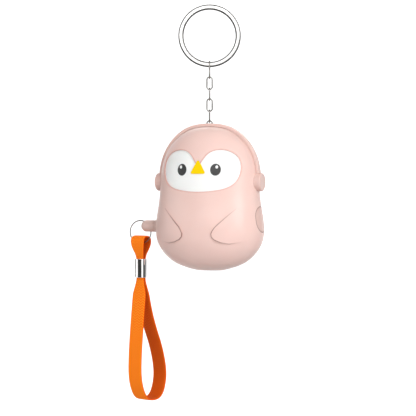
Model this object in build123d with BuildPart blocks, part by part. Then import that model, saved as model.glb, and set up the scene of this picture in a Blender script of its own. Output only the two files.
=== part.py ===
from build123d import *
import math
import os

os.makedirs("parts", exist_ok=True)

# Personal safety alarm shaped as a small penguin with ear muffs, hung from a key ring.
# All lengths are millimetres. The origin is the middle of the key ring and +Z is up.
# The face looks along -Y, the pull pin is on the -X side and the lamp button on the +X side.

# Key ring, a split ring of two turns of flat wire
ring_outside = 28.0
ring_band = 2.3
ring_depth = 2.0
ring_edge = 0.65
ring_groove = 0.35
ring_slit = 0.35
ring_slit_angle = 38
ring_yaw = 20  # the ring and the chain hang turned from the case by this angle

# Chain of bent wire links
wire = 0.6
link_inside = 4.95
link_width = 1.8
long_link_inside = 7.25
long_link_width = 2.8
chain_play = 0.05
ring_play = 0.15

# Case, a flattened egg with a flat foot
case_half_width = 25.4
case_half_depth = 16.4
case_height = 64.5
foot_half_width = 6.4
foot_sag = 0.3  # what the foot is cut off flat above
wall = 1.8
case_outline_shares = [
    (0.40, 0.0135),
    (0.60, 0.042),
    (0.85, 0.118),
    (0.974, 0.205),
    (1.0, 0.30),
    (0.957, 0.43),
    (0.919, 0.55),
    (0.894, 0.682),
    (0.83, 0.786),
    (0.665, 0.892),
    (0.40, 0.972),
]
parting_inset = 10.4  # from the back of the case to the plane where the cover meets the shell
seam = 0.06
lip_height = 1.2
lip_wall = 0.8
lip_play = 0.06
overrun = 2.0
trim_gap = 0.03

# Headband and ear muffs
band_proud = 1.4
band_width = 3.2
band_edge = 0.5
muff_diameter = 8.2
muff_drop = 24.9
muff_depth = 4.5
muff_edge = 0.7

# Hanging eye screwed into the top of the head
eye_rise = 1.5
eye_shank_diameter = 1.3
eye_shank_length = 6.5
eye_boss_diameter = 4.6
eye_boss_length = 6.0
eye_dimple_play = 0.35

# Face inlay
face_half_width = 18.2
face_drop = 29.2
face_height = 18.6
face_recess = 0.45
face_thickness = 0.7
face_gap = 0.04
face_outline_shares = [
    (0.0, 0.597),
    (0.137, 0.79),
    (0.274, 0.935),
    (0.526, 1.0),
    (0.786, 0.935),
    (0.943, 0.79),
    (1.0, 0.575),
    (0.967, 0.37),
    (0.874, 0.21),
    (0.72, 0.105),
    (0.446, 0.035),
    (0.0, 0.0),
]
eye_spacing = 15.9
eye_lift = 9.8
eye_width = 4.55
eye_length = 5.2
eye_proud = 0.12
glint_diameter = 1.15
glint_length = 1.45
glint_up = 1.2
glint_out = 0.55
glint_proud = 0.04
beak_lift = 8.0
beak_height = 6.5
beak_width = 7.2
beak_corner = 0.6
beak_proud = 0.4

# Wings, low reliefs on the front shell
wing_lift = (0.5, 0.6, 0.3)
# How far in from the widest flank and how high above the foot each point of the outline is: the top,
# the end of the straight edge, the tip, two points under it, the end, and a point outside the case
wing_points = (
    (8.6, 27.8),
    (16.8, 19.9),
    (18.5, 16.9),
    (17.1, 14.3),
    (11.1, 12.5),
    (3.4, 14.1),
    (-1.1, 22.0),
)

# Lamp button on the +X side
button_length = 11.0
button_width = 9.2
button_height = 23.0
button_gap = 0.17
button_sleeve_wall = 1.1
button_sleeve_inset = 5.0
button_flange = 0.8
button_flange_play = 0.15
button_travel = 0.6
button_pocket_wall = 1.3
button_stem = 3.4
button_face = 1.6

# Pull pin on the -X side and the socket it is pushed into
pin_height = 19.45
knob_diameter = 5.35
knob_reach = 8.0
knob_gap = 0.12
slot_inner_reach = 2.6
slot_outer_reach = 7.25
slot_width = 1.4
pin_diameter = 2.4
pin_tip = 12.0
pin_tip_taper = 0.6
pin_play = 0.1
socket_diameter = 5.2
socket_rim_diameter = 5.7
socket_rim_proud = 1.1
socket_rim_sunk = 0.8
socket_rim_edge = 0.3
socket_depth = 4.9

# Small split ring on the pull pin
loop_radius = 5.2
loop_wire = 0.5
loop_reach = 8.6
loop_drop = 2.8
loop_tail_start = 196
loop_tail_sweep = 40
loop_tail_shift = 0.42

# Wrist strap of flat webbing, folded over the small ring and clamped in a ferrule
strap_reach = 8.4
strap_yaw = -14
web_width = 7.4
web_thickness = 0.9
ferrule_drop = 15.1
ferrule_length = 8.6
ferrule_diameter = 5.7
ferrule_wall = 0.4
ferrule_edge = 0.15
neck_width = 4.1
neck_flare_length = 9.0

# Middle of the webbing from the top of its fold down the near side, and back up the far side.
# Each point is a distance across the loop and a height from the axis of the pull pin.
near_route = [
    (0.0, -4.85),
    (-2.65, -4.85),
    (-2.65, -9.6),
    (-0.475, -14.4),
    (-0.475, -25.6),
    (-2.4, -40.0),
    (-4.4, -58.0),
    (-4.7, -70.0),
    (-1.6, -77.6),
    (2.4, -80.35),
    (5.65, -80.35),
]
far_route = [
    (5.65, -80.35),
    (9.4, -80.35),
    (13.0, -76.6),
    (14.7, -68.5),
    (11.6, -57.0),
    (5.5, -45.0),
    (1.6, -33.5),
    (0.475, -25.6),
    (0.475, -14.4),
    (2.65, -9.6),
    (2.65, -4.85),
    (0.0, -4.85),
]
fold_radius = 2.6
bend_share = 0.4

# Circuit board and what it carries
board_back = -1.8
board_thickness = 1.0
board_half_width = 14.0
board_bottom = 11.0
board_headroom = 13.5
board_corner = 2.0
tab_inset = 2.7
tab_half_height = 3.4
post_x = 10.5
post_low_margin = 3.0
post_high_margin = 4.0
post_diameter = 4.2
board_screw_diameter = 1.6
board_screw_length = 5.5
board_screw_head = 3.0
board_screw_head_depth = 0.9
screw_play = 0.1
thread_gap = 0.02
screw_slot = 0.4
slot_share = 0.55
head_round_share = 0.45
point_share = 0.3
switch_size = 6.0
switch_depth = 3.5
plunger_diameter = 2.0
plunger_inside = 0.9
plunger_play = 0.1
chip_size = 5.0
chip_depth = 1.3
chip_lift = 19.0
coil_diameter = 7.0
coil_x = 3.0
coil_drop = 11.0
coil_depth = 6.0
coil_flange = 1.0
coil_waist = 4.0
winding_diameter = 6.2
leaf_base_width = 2.8
leaf_base_height = 7.6
leaf_base_x = 8.7
leaf_base_depth = 3.6
leaf_thickness = 0.2
leaf_reach = 15.6
leaf_width = 2.6
leaf_gap = 0.08
leaf_hook = 0.5

# Batteries, their well in the rear cover, and its door
cell_diameter = 11.6
cell_length = 5.4
cell_count = 3
cell_gap = 0.04
cell_step = 0.6
cell_cap = 1.1
cells_x = 3.0
cells_inset = 9.8
cells_height = 19.0
well_play = 0.2
well_wall = 0.9
well_end_room = 1.15
contact_thickness = 0.25
contact_width = 7.0
contact_depth = 8.0
contact_bump = 3.0
contact_bump_top = 1.6
door_x = 5.0
door_width = 26.4
door_height = 14.8
door_corner = 2.5
door_gap = 0.12
door_thickness = 1.5
door_seat_gap = 0.05
frame_width = 1.2
frame_inset = 7.2
door_screw_x = 15.4
door_screw_inset = 5.2
door_screw_diameter = 1.8
door_screw_head = 3.2
door_screw_head_depth = 1.0
door_screw_length = 5.5
door_boss_diameter = 5.0
door_boss_inset = 6.1
door_post_inset = 11.8

# Siren behind the sound holes in the rear cover
siren_drop = 21.5
siren_diameter = 23.0
siren_wall = 1.1
siren_step = 0.4
siren_play = 0.1
siren_disc_thickness = 0.3
siren_ceramic_diameter = 15.5
siren_ceramic_thickness = 0.25
gasket_width = 1.6
gasket_thickness = 0.8
sound_hole = 1.5
sound_rings = ((1, 0), (6, 2.7), (12, 5.4))

# Lamp in the foot
lens_diameter = 5.6
lens_gap = 0.08
lens_recess = 0.25
lens_flange = 0.7
lamp_diameter = 4.8
lamp_length = 6.2
lamp_flange = 0.4
lamp_flange_depth = 0.9
lamp_gap = 0.15
lead_side = 0.5
lead_spacing = 2.54
lead_length = 3.0

# Case screws
case_screw_low = (13.0, 8.2)
case_screw_high_x = 11.0
case_screw_high_drop = 9.9
case_screw_diameter = 2.0
case_screw_head = 3.4
case_screw_head_depth = 1.1
case_screw_length = 9.0
case_boss_diameter = 4.6
cover_boss_diameter = 5.4
head_step = 1.8

# Depths that follow the back of the case
parting = case_half_depth - parting_inset
head_seat = parting + head_step
siren_front = parting + siren_step
cells_y = case_half_depth - cells_inset
frame_front = case_half_depth - frame_inset
door_screw_seat = case_half_depth - door_screw_inset
door_boss_front = case_half_depth - door_boss_inset
door_post_front = case_half_depth - door_post_inset

# Heights above the foot that follow the top of the case
muff_height = case_height - muff_drop
face_bottom = case_height - face_drop
eye_height = face_bottom + eye_lift
beak_bottom = face_bottom + beak_lift
beak_top = beak_bottom + beak_height
siren_height = case_height - siren_drop
board_top = case_height - board_headroom
post_heights = (board_bottom + post_low_margin, board_top - post_high_margin)
chip_height = board_bottom + chip_lift
coil_height = board_top - coil_drop
case_screw_places = (case_screw_low, (case_screw_high_x, case_height - case_screw_high_drop))
loop_height = pin_height - loop_drop

# Distances from the middle that follow the flanks
muff_face = case_half_width
button_sleeve_end = case_half_width - button_sleeve_inset
tab_reach = button_sleeve_end - tab_inset
socket_rim_face = case_half_width + socket_rim_proud
socket_rim_back = case_half_width - socket_rim_sunk
socket_end = case_half_width - socket_depth
knob_root = socket_rim_face + knob_gap
knob_end = case_half_width + knob_reach
slot_inner = case_half_width + slot_inner_reach
slot_outer = case_half_width + slot_outer_reach
loop_x = case_half_width + loop_reach
strap_x = case_half_width + strap_reach

# Places along the chain, from the key ring down to the head
yaw = math.radians(ring_yaw)
across = Vector(math.cos(yaw), math.sin(yaw), 0)
away = Vector(-math.sin(yaw), math.cos(yaw), 0)
front_view = Plane(origin=(0, 0, 0), x_dir=across, z_dir=-away)
side_view = Plane(origin=(0, 0, 0), x_dir=away, z_dir=across)
ring_inside = ring_outside / 2 - ring_band
first_top = ring_play - ring_inside
link_tops = [first_top, first_top - long_link_inside + chain_play]
for _ in range(4):
    link_tops.append(link_tops[-1] - link_inside + chain_play)
eye_top = link_tops.pop()
case_bottom = eye_top + wire - eye_rise - band_proud - case_height


def up(height):
    """Level of a height above the foot of the case."""
    return case_bottom + height


def half_outline(grow):
    """Right half of the body's front view, moved out by one distance."""
    half_width = case_half_width + grow
    height = case_height + 2 * grow
    low = up(-grow)
    rising = [(x * half_width, low + z * height) for x, z in case_outline_shares]
    with BuildSketch(Plane.XZ, mode=Mode.PRIVATE) as shape:
        with BuildLine():
            Spline(
                [(0, low - foot_sag), (foot_half_width, low)] + rising + [(0, low + height)],
                tangents=[(1, 0), (-1, 0)],
                tangent_scalars=[1, 1],
            )
            Line((0, low + height), (0, low - foot_sag))
        make_face()
    return shape.sketch


def egg(grow):
    """Body form with its whole surface moved out by one distance, cut flat at the foot."""
    with BuildPart(mode=Mode.PRIVATE) as round_form:
        add(half_outline(grow))
        revolve(axis=Axis.Z)
    flatten = (1, (case_half_depth + grow) / (case_half_width + grow), 1)
    with BuildPart(mode=Mode.PRIVATE) as form:
        add(scale(round_form.part, by=flatten, mode=Mode.PRIVATE))
        split(bisect_by=Plane.XY.offset(up(-grow)), keep=Keep.TOP)
    return form.part


def slab(y_low, y_high):
    """Block as wide as the case between two depths, used to split forms."""
    with BuildPart(mode=Mode.PRIVATE) as block:
        with BuildSketch(Plane.XZ.offset(-y_low)):
            with Locations((0, up(case_height / 2))):
                Rectangle(3 * case_half_width, 2 * case_height)
        extrude(amount=y_low - y_high)
    return block.part


def facing(y):
    """Plane across the case at one depth, seen from the front."""
    return Plane.XZ.offset(-y)


outer = egg(0)
inner = egg(-wall)
front_space = slab(-2 * case_half_depth, parting - seam / 2)
rear_space = slab(parting + seam / 2, 2 * case_half_depth)

# Key ring: two flat turns with a groove between them and a slit in each
with BuildPart() as key_ring:
    with BuildSketch(side_view) as ring_section:
        with Locations((0, ring_outside / 2 - ring_band / 2)):
            Rectangle(ring_depth, ring_band)
        fillet(ring_section.vertices(), ring_edge)
        with Locations((0, ring_outside / 2), (0, ring_inside)):
            Rectangle(ring_groove, ring_groove, rotation=45, mode=Mode.SUBTRACT)
    revolve(axis=Axis((0, 0, 0), away))
    for side in (1, -1):
        with BuildSketch(front_view.offset(side * ring_depth / 2)):
            with PolarLocations(
                (ring_outside + ring_inside * 2) / 4, 1, start_angle=90 + side * ring_slit_angle
            ):
                Rectangle(ring_band + overrun, ring_slit)
        extrude(amount=-side * ring_depth / 2, mode=Mode.SUBTRACT)
key_ring.part.label = "key_ring"
export_step(key_ring.part, "parts/key_ring.step")

# Chain links: each hangs over the wire of the one above and stands square to it
for number, top in enumerate(link_tops, start=1):
    inside = long_link_inside if number == 1 else link_inside
    width = long_link_width if number == 1 else link_width
    bend = (width + wire) / 2
    upper = top - width / 2
    lower = top - inside + width / 2
    with BuildPart() as chain_link:
        with BuildLine(side_view if number % 2 else front_view) as oval:
            Line((bend, upper), (bend, lower))
            RadiusArc((bend, lower), (-bend, lower), bend)
            Line((-bend, lower), (-bend, upper))
            RadiusArc((-bend, upper), (bend, upper), bend)
        with BuildSketch(Plane(origin=oval.wires()[0] @ 0, z_dir=oval.wires()[0] % 0)):
            Circle(wire / 2)
        sweep(path=oval.wires()[0])
    chain_link.part.label = f"chain_link_{number}"
    export_step(chain_link.part, f"parts/chain_link_{number}.step")

# Hanging eye: a closed wire eye on a shank that screws into the head
eye_bend = (link_width + wire) / 2
eye_centre = eye_top - link_width / 2
eye_room = eye_bend + wire / 2 + eye_dimple_play
with BuildSketch(Plane.XY.offset(eye_centre), mode=Mode.PRIVATE) as eye_slot:
    SlotOverall(2 * eye_room, wire + 2 * eye_dimple_play, rotation=ring_yaw)
with BuildPart() as hanger_eye:
    with BuildSketch(side_view):
        with Locations((0, eye_centre + eye_bend)):
            Circle(wire / 2)
    revolve(axis=Axis((0, 0, eye_centre), away))
    with BuildSketch(Plane.XY.offset(eye_centre - eye_bend + wire / 4)):
        Circle(eye_shank_diameter / 2)
    extrude(amount=-eye_shank_length)
hanger_eye.part.label = "hanger_eye"
export_step(hanger_eye.part, "parts/hanger_eye.step")


def face_line(grow):
    """Face outline, moved out by one distance."""
    width = face_half_width + grow
    low = up(face_bottom - grow)
    height = face_height + 2 * grow
    with BuildSketch(facing(0), mode=Mode.PRIVATE) as shape:
        with BuildLine():
            half = Spline(
                [(x * width, low + z * height) for x, z in face_outline_shares],
                tangents=[(width, height), (-1, 0)],
                tangent_scalars=[1, 1],
            )
            mirror(half, about=Plane.YZ)
        make_face()
    return shape.sketch


def beak_line(grow):
    """Rounded triangle of the beak, moved out by one distance."""
    with BuildSketch(facing(0), mode=Mode.PRIVATE) as shape:
        with BuildLine():
            Polyline(
                (0, up(beak_top)),
                (beak_width / 2, up(beak_bottom)),
                (-beak_width / 2, up(beak_bottom)),
                close=True,
            )
        make_face()
        fillet(shape.vertices(), beak_corner)
        if grow:
            offset(amount=grow)
    return shape.sketch


def eye_line(side, grow):
    """Upright oval of one eye."""
    with BuildSketch(facing(0), mode=Mode.PRIVATE) as shape:
        with Locations((side * eye_spacing / 2, up(eye_height))):
            Ellipse(eye_width / 2 + grow, eye_length / 2 + grow)
    return shape.sketch


def glint_line(side, grow):
    """Small oval of light in the upper outer part of one eye."""
    with BuildSketch(facing(0), mode=Mode.PRIVATE) as shape:
        with Locations((side * (eye_spacing / 2 + glint_out), up(eye_height + glint_up))):
            Ellipse(glint_diameter / 2 + grow, glint_length / 2 + grow)
    return shape.sketch


face_front = egg(-face_recess)
face_back = egg(-face_recess - face_thickness)
eye_front = egg(eye_proud - face_recess)
glint_front = egg(eye_proud + glint_proud - face_recess)
beak_front = egg(beak_proud - face_recess)

# Face panel: a white inlay that follows the body, with openings for the eyes and the beak
with BuildPart() as face_panel:
    add(face_front)
    add(face_back, mode=Mode.SUBTRACT)
    extrude(face_line(-face_gap), amount=2 * case_half_depth, mode=Mode.INTERSECT)
    extrude(beak_line(face_gap), amount=2 * case_half_depth, mode=Mode.SUBTRACT)
    for side in (1, -1):
        extrude(eye_line(side, face_gap), amount=2 * case_half_depth, mode=Mode.SUBTRACT)
face_panel.part.label = "face_panel"
export_step(face_panel.part, "parts/face_panel.step")

# Eyes: slightly domed ovals set into the face panel
for side, name in ((1, "eye_left"), (-1, "eye_right")):
    with BuildPart() as eye:
        add(eye_front)
        add(face_back, mode=Mode.SUBTRACT)
        extrude(eye_line(side, 0), amount=2 * case_half_depth, mode=Mode.INTERSECT)
        extrude(glint_line(side, trim_gap), amount=2 * case_half_depth, mode=Mode.SUBTRACT)
    eye.part.label = name
    export_step(eye.part, f"parts/{name}.step")

# Glints: two white ovals set into the eyes
with BuildPart() as eye_glints:
    for side in (1, -1):
        with BuildPart(mode=Mode.PRIVATE) as glint:
            add(glint_front)
            add(face_back, mode=Mode.SUBTRACT)
            extrude(glint_line(side, 0), amount=2 * case_half_depth, mode=Mode.INTERSECT)
        add(glint.part)
eye_glints.part.label = "eye_glints"
export_step(eye_glints.part, "parts/eye_glints.step")

# Beak: a flat rounded triangle set into the panel and the notch above it
with BuildPart() as beak:
    add(beak_front)
    add(face_back, mode=Mode.SUBTRACT)
    extrude(beak_line(0), amount=2 * case_half_depth, mode=Mode.INTERSECT)
beak.part.label = "beak"
export_step(beak.part, "parts/beak.step")


def wing(side):
    """Low relief of one wing: the body form shifted a little, inside the wing's outline."""
    lift_x, lift_y, lift_z = wing_lift
    with BuildPart(mode=Mode.PRIVATE) as relief:
        add(outer.moved(Location((-side * lift_x, -lift_y, -lift_z))))
        with BuildSketch(facing(0)):
            with BuildLine():
                top, turn, tip, under, low, end, out = (
                    (side * (case_half_width - inset), up(height)) for inset, height in wing_points
                )
                Line(top, turn)
                Spline(
                    (turn, tip, under, low, end),
                    tangents=[Vector(*turn) - Vector(*top), Vector(*end) - Vector(*low)],
                    tangent_scalars=[1, 1],
                )
                Polyline(end, out, top)
            make_face()
        extrude(amount=2 * case_half_depth, mode=Mode.INTERSECT)
    return relief.part


def button_line(x, grow):
    """Upright oval of the lamp button at one distance along X, moved out by another."""
    with BuildSketch(Plane.YZ.offset(x), mode=Mode.PRIVATE) as shape:
        with Locations((0, up(button_height))):
            SlotOverall(button_length + 2 * grow, button_width + 2 * grow, rotation=90)
    return shape.sketch


deep = 2 * case_half_depth

# Hollow of the front shell, with the lamp button's sleeve, the hanging eye's boss and the posts
# for the board and the case screws left standing in it
with BuildPart() as front_hollow:
    add(inner)
    with BuildPart(mode=Mode.PRIVATE) as bosses:
        extrude(button_line(button_sleeve_end, button_gap + button_sleeve_wall), amount=case_half_width)
        with BuildSketch(Plane.XY.offset(up(case_height - wall - eye_boss_length))):
            Circle(eye_boss_diameter / 2)
        extrude(amount=eye_boss_length + wall)
        with BuildSketch(facing(board_back - board_thickness)):
            for height in post_heights:
                with Locations((post_x, up(height)), (-post_x, up(height))):
                    Circle(post_diameter / 2)
        extrude(amount=deep)
        with BuildSketch(facing(parting - seam / 2)):
            for x, height in case_screw_places:
                with Locations((x, up(height)), (-x, up(height))):
                    Circle(case_boss_diameter / 2)
        extrude(amount=deep)
        add(front_space, mode=Mode.INTERSECT)
    add(bosses.part, mode=Mode.SUBTRACT)

# Front shell: face, flanks, top and foot in one moulding, with a lip that the cover fits over
with BuildPart() as front_shell:
    add(outer)
    for side in (1, -1):
        add(wing(side))
    add(front_space, mode=Mode.INTERSECT)
    with BuildPart(mode=Mode.PRIVATE) as lip:
        add(egg(lip_wall - wall))
        add(slab(parting - seam, parting + lip_height), mode=Mode.INTERSECT)
    add(lip.part)
    add(front_hollow.part, mode=Mode.SUBTRACT)
    with BuildPart(mode=Mode.PRIVATE) as pocket:
        extrude(face_line(0) + beak_line(face_gap), amount=deep)
        add(face_back, mode=Mode.SUBTRACT)
    add(pocket.part, mode=Mode.SUBTRACT)
    extrude(
        button_line(button_sleeve_end - overrun, button_gap), amount=case_half_width, mode=Mode.SUBTRACT
    )
    with BuildSketch(Plane.XY.offset(up(case_height + overrun))):
        Circle(eye_shank_diameter / 2 + thread_gap)
    extrude(amount=-eye_boss_length - wall - 2 * overrun, mode=Mode.SUBTRACT)
    extrude(eye_slot.sketch.moved(Location((0, 0, -eye_room))), amount=2 * eye_room, mode=Mode.SUBTRACT)
    with BuildSketch(Plane.YZ.offset(overrun - socket_end)):
        with Locations((0, up(pin_height))):
            Circle(socket_diameter / 2 + thread_gap)
    extrude(amount=-case_half_width, mode=Mode.SUBTRACT)
    with BuildSketch(Plane.XY.offset(up(-overrun))):
        Circle(lens_diameter / 2 + lens_gap)
    extrude(amount=wall + 2 * overrun, mode=Mode.SUBTRACT)
    with BuildSketch(facing(board_back)):
        for height in post_heights:
            with Locations((post_x, up(height)), (-post_x, up(height))):
                Circle(board_screw_diameter / 2 + thread_gap)
    extrude(amount=board_screw_length + screw_play, mode=Mode.SUBTRACT)
    with BuildSketch(facing(head_seat)):
        for x, height in case_screw_places:
            with Locations((x, up(height)), (-x, up(height))):
                Circle(case_screw_diameter / 2 + thread_gap)
    extrude(amount=case_screw_length + screw_play, mode=Mode.SUBTRACT)
front_shell.part.label = "front_shell"
export_step(front_shell.part, "parts/front_shell.step")

# Places of the siren and of the battery well
siren_seat = siren_front + siren_disc_thickness + gasket_thickness + siren_play
cells_length = cell_count * (cell_length + cell_gap)
well_length = cells_length + 2 * well_end_room
well_height = cell_diameter + 2 * well_play
well_floor = cells_y - cell_diameter / 2 - well_play


def well_line(grow):
    """Inside of the battery well seen from behind, moved out by one distance."""
    with BuildSketch(facing(0), mode=Mode.PRIVATE) as shape:
        with Locations((cells_x, up(cells_height))):
            Rectangle(well_length + 2 * grow, well_height + 2 * grow)
    return shape.sketch


def door_line(grow):
    """Outline of the battery door, moved out by one distance."""
    with BuildSketch(facing(0), mode=Mode.PRIVATE) as shape:
        with Locations((door_x, up(cells_height))):
            RectangleRounded(door_width + 2 * grow, door_height + 2 * grow, door_corner + grow)
    return shape.sketch


def at_depth(sketch, y):
    """The same outline moved to one depth."""
    return sketch.moved(Location((0, y, 0)))


# Hollow of the rear cover, with the screw posts, the siren chamber's wall, the frame round the door,
# the battery well and the door screw's post left standing in it
with BuildPart() as rear_hollow:
    add(inner)
    add(slab(parting - overrun, deep), mode=Mode.INTERSECT)
    with BuildPart(mode=Mode.PRIVATE) as ribs:
        with BuildSketch(facing(parting + seam / 2)):
            for x, height in case_screw_places:
                with Locations((x, up(height)), (-x, up(height))):
                    Circle(cover_boss_diameter / 2)
        extrude(amount=-deep)
        with BuildSketch(facing(siren_front)):
            with Locations((0, up(siren_height))):
                Circle(siren_diameter / 2 + siren_wall)
        extrude(amount=-deep)
        extrude(at_depth(door_line(frame_width), frame_front), amount=-deep)
        extrude(at_depth(well_line(well_wall), well_floor - well_wall), amount=-deep)
        with BuildSketch(facing(door_post_front)):
            with Locations((door_screw_x, up(cells_height))):
                Circle(door_boss_diameter / 2)
        extrude(amount=-deep)
        with BuildSketch(facing(siren_seat)):
            with Locations((0, up(siren_height))):
                Circle(siren_diameter / 2 - gasket_width)
        extrude(amount=-deep, mode=Mode.SUBTRACT)
        with BuildSketch(facing(siren_front)):
            with Locations((0, up(siren_height))):
                Circle(siren_diameter / 2)
        extrude(amount=siren_front - siren_seat, mode=Mode.SUBTRACT)
        extrude(at_depth(well_line(0), well_floor), amount=-deep, mode=Mode.SUBTRACT)
    add(ribs.part, mode=Mode.SUBTRACT)

# Rear cover: shallow shell with sound holes, battery well and screw bores
door_back = egg(-door_thickness - door_seat_gap)
with BuildPart() as rear_cover:
    add(outer)
    add(rear_space, mode=Mode.INTERSECT)
    with BuildPart(mode=Mode.PRIVATE) as rebate:
        add(egg(lip_wall + lip_play - wall))
        add(egg(-wall - lip_play), mode=Mode.SUBTRACT)
        add(slab(parting - overrun, parting + lip_height + lip_play), mode=Mode.INTERSECT)
    add(rebate.part, mode=Mode.SUBTRACT)
    add(rear_hollow.part, mode=Mode.SUBTRACT)
    with BuildPart(mode=Mode.PRIVATE) as tray:
        well_front = well_floor - well_wall
        extrude(at_depth(well_line(well_wall), well_front), amount=well_front - parting - seam)
        with BuildSketch(facing(door_post_front)):
            with Locations((door_screw_x, up(cells_height))):
                Circle(door_boss_diameter / 2)
        extrude(amount=door_post_front - parting - seam)
    add(tray.part)
    extrude(at_depth(well_line(0), well_floor), amount=-deep, mode=Mode.SUBTRACT)
    with BuildPart(mode=Mode.PRIVATE) as doorway:
        extrude(at_depth(door_line(0), parting), amount=-deep)
        add(door_back, mode=Mode.SUBTRACT)
    add(doorway.part, mode=Mode.SUBTRACT)
    with BuildSketch(facing(door_boss_front - door_seat_gap)):
        with Locations((door_screw_x, up(cells_height))):
            Circle(door_boss_diameter / 2 + door_seat_gap)
    extrude(amount=-deep, mode=Mode.SUBTRACT)
    with BuildSketch(facing(door_screw_seat)):
        with Locations((door_screw_x, up(cells_height))):
            Circle(door_screw_diameter / 2 + thread_gap)
    extrude(amount=door_screw_length + screw_play, mode=Mode.SUBTRACT)
    with BuildSketch(facing(parting)):
        for x, height in case_screw_places:
            with Locations((x, up(height)), (-x, up(height))):
                Circle(case_screw_diameter / 2 + screw_play)
    extrude(amount=-deep, mode=Mode.SUBTRACT)
    with BuildSketch(facing(head_seat)):
        for x, height in case_screw_places:
            with Locations((x, up(height)), (-x, up(height))):
                Circle(case_screw_head / 2 + screw_play)
    extrude(amount=-deep, mode=Mode.SUBTRACT)
    with BuildSketch(facing(siren_seat)):
        with Locations((0, up(siren_height))):
            for count, radius in sound_rings:
                with PolarLocations(radius, count):
                    Circle(sound_hole / 2)
    extrude(amount=-deep, mode=Mode.SUBTRACT)
rear_cover.part.label = "rear_cover"
export_step(rear_cover.part, "parts/rear_cover.step")

# Battery door: a piece of the back with a boss for its screw
with BuildPart() as battery_door:
    add(outer)
    add(egg(-door_thickness), mode=Mode.SUBTRACT)
    extrude(at_depth(door_line(-door_gap), parting), amount=-deep, mode=Mode.INTERSECT)
    with BuildPart(mode=Mode.PRIVATE) as boss:
        with BuildSketch(facing(door_boss_front)):
            with Locations((door_screw_x, up(cells_height))):
                Circle(door_boss_diameter / 2)
        extrude(amount=-deep)
        add(outer, mode=Mode.INTERSECT)
    add(boss.part)
    with BuildSketch(facing(parting)):
        with Locations((door_screw_x, up(cells_height))):
            Circle(door_screw_diameter / 2 + screw_play)
    extrude(amount=-deep, mode=Mode.SUBTRACT)
    with BuildSketch(facing(door_screw_seat)):
        with Locations((door_screw_x, up(cells_height))):
            Circle(door_screw_head / 2 + screw_play)
    extrude(amount=-deep, mode=Mode.SUBTRACT)
battery_door.part.label = "battery_door"
export_step(battery_door.part, "parts/battery_door.step")


def pan_screw(seat, x, height, diameter, length, head, head_depth):
    """Pan-head screw that points to the front, with a straight slot in its head."""
    with BuildPart(mode=Mode.PRIVATE) as screw:
        with BuildSketch(facing(seat)):
            with Locations((x, up(height))):
                Circle(head / 2)
        extrude(amount=-head_depth)
        fillet(screw.faces().sort_by(Axis.Y)[-1].edges(), head_depth * head_round_share)
        with BuildSketch(facing(seat)):
            with Locations((x, up(height))):
                Circle(diameter / 2)
        extrude(amount=length)
        chamfer(screw.faces().sort_by(Axis.Y)[0].edges(), diameter * point_share)
        with BuildSketch(facing(seat + head_depth)):
            with Locations((x, up(height))):
                Rectangle(2 * head, screw_slot)
        extrude(amount=head_depth * slot_share, mode=Mode.SUBTRACT)
    return screw.part


# Screws: four hold the case together, four the board and one the battery door
with BuildPart() as case_screws:
    for x, height in case_screw_places:
        for side in (1, -1):
            add(
                pan_screw(
                    head_seat,
                    side * x,
                    height,
                    case_screw_diameter,
                    case_screw_length,
                    case_screw_head,
                    case_screw_head_depth,
                )
            )
case_screws.part.label = "case_screws"
export_step(case_screws.part, "parts/case_screws.step")

with BuildPart() as board_screws:
    for height in post_heights:
        for side in (1, -1):
            add(
                pan_screw(
                    board_back,
                    side * post_x,
                    height,
                    board_screw_diameter,
                    board_screw_length,
                    board_screw_head,
                    board_screw_head_depth,
                )
            )
board_screws.part.label = "board_screws"
export_step(board_screws.part, "parts/board_screws.step")

with BuildPart() as door_screw:
    add(
        pan_screw(
            door_screw_seat,
            door_screw_x,
            cells_height,
            door_screw_diameter,
            door_screw_length,
            door_screw_head,
            door_screw_head_depth,
        )
    )
door_screw.part.label = "door_screw"
export_step(door_screw.part, "parts/door_screw.step")

# Headband: a strip over the head from ear to ear
with BuildPart() as headband:
    with BuildSketch(facing(band_width / 2)):
        with BuildLine():
            half_width = case_half_width + band_proud
            height = case_height + 2 * band_proud
            over = [(x * half_width, up(z * height - band_proud)) for x, z in case_outline_shares[5:]]
            half = Spline(
                over + [(0, up(case_height + band_proud))],
                tangents=[(0, 1), (-1, 0)],
                tangent_scalars=[1, 1],
            )
            mirror(half, about=Plane.YZ)
            Line(over[0], (-over[0][0], over[0][1]))
        make_face()
        with Locations((0, up(muff_height + case_height / 2))):
            Rectangle(3 * case_half_width, case_height, mode=Mode.INTERSECT)
    extrude(amount=band_width)
    fillet(headband.edges().filter_by(GeomType.BSPLINE), band_edge)
    with BuildPart(mode=Mode.PRIVATE) as under:
        extrude(at_depth(half_outline(trim_gap), deep), amount=2 * deep)
        mirror(about=Plane.YZ)
    add(under.part, mode=Mode.SUBTRACT)
    extrude(eye_slot.sketch, amount=eye_room, both=True, mode=Mode.SUBTRACT)
    with BuildSketch(Plane.YZ.offset(-case_half_width - overrun)):
        with Locations((0, up(muff_height))):
            Circle(muff_diameter / 2 + trim_gap)
    extrude(amount=2 * case_half_width + 2 * overrun, mode=Mode.SUBTRACT)
headband.part.label = "headband"
export_step(headband.part, "parts/headband.step")

# Ear muffs: round pads on the flanks where the headband ends
for side, name in ((1, "ear_muff_left"), (-1, "ear_muff_right")):
    with BuildPart() as ear_muff:
        with BuildSketch(Plane.YZ.offset(side * muff_face)):
            with Locations((0, up(muff_height))):
                Circle(muff_diameter / 2)
        extrude(amount=-side * muff_depth)
        rim = ear_muff.faces().filter_by(Plane.YZ).sort_by(Axis.X)[-1 if side > 0 else 0]
        fillet(rim.edges(), muff_edge)
        add(egg(trim_gap), mode=Mode.SUBTRACT)
    ear_muff.part.label = name
    export_step(ear_muff.part, f"parts/{name}.step")

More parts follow.
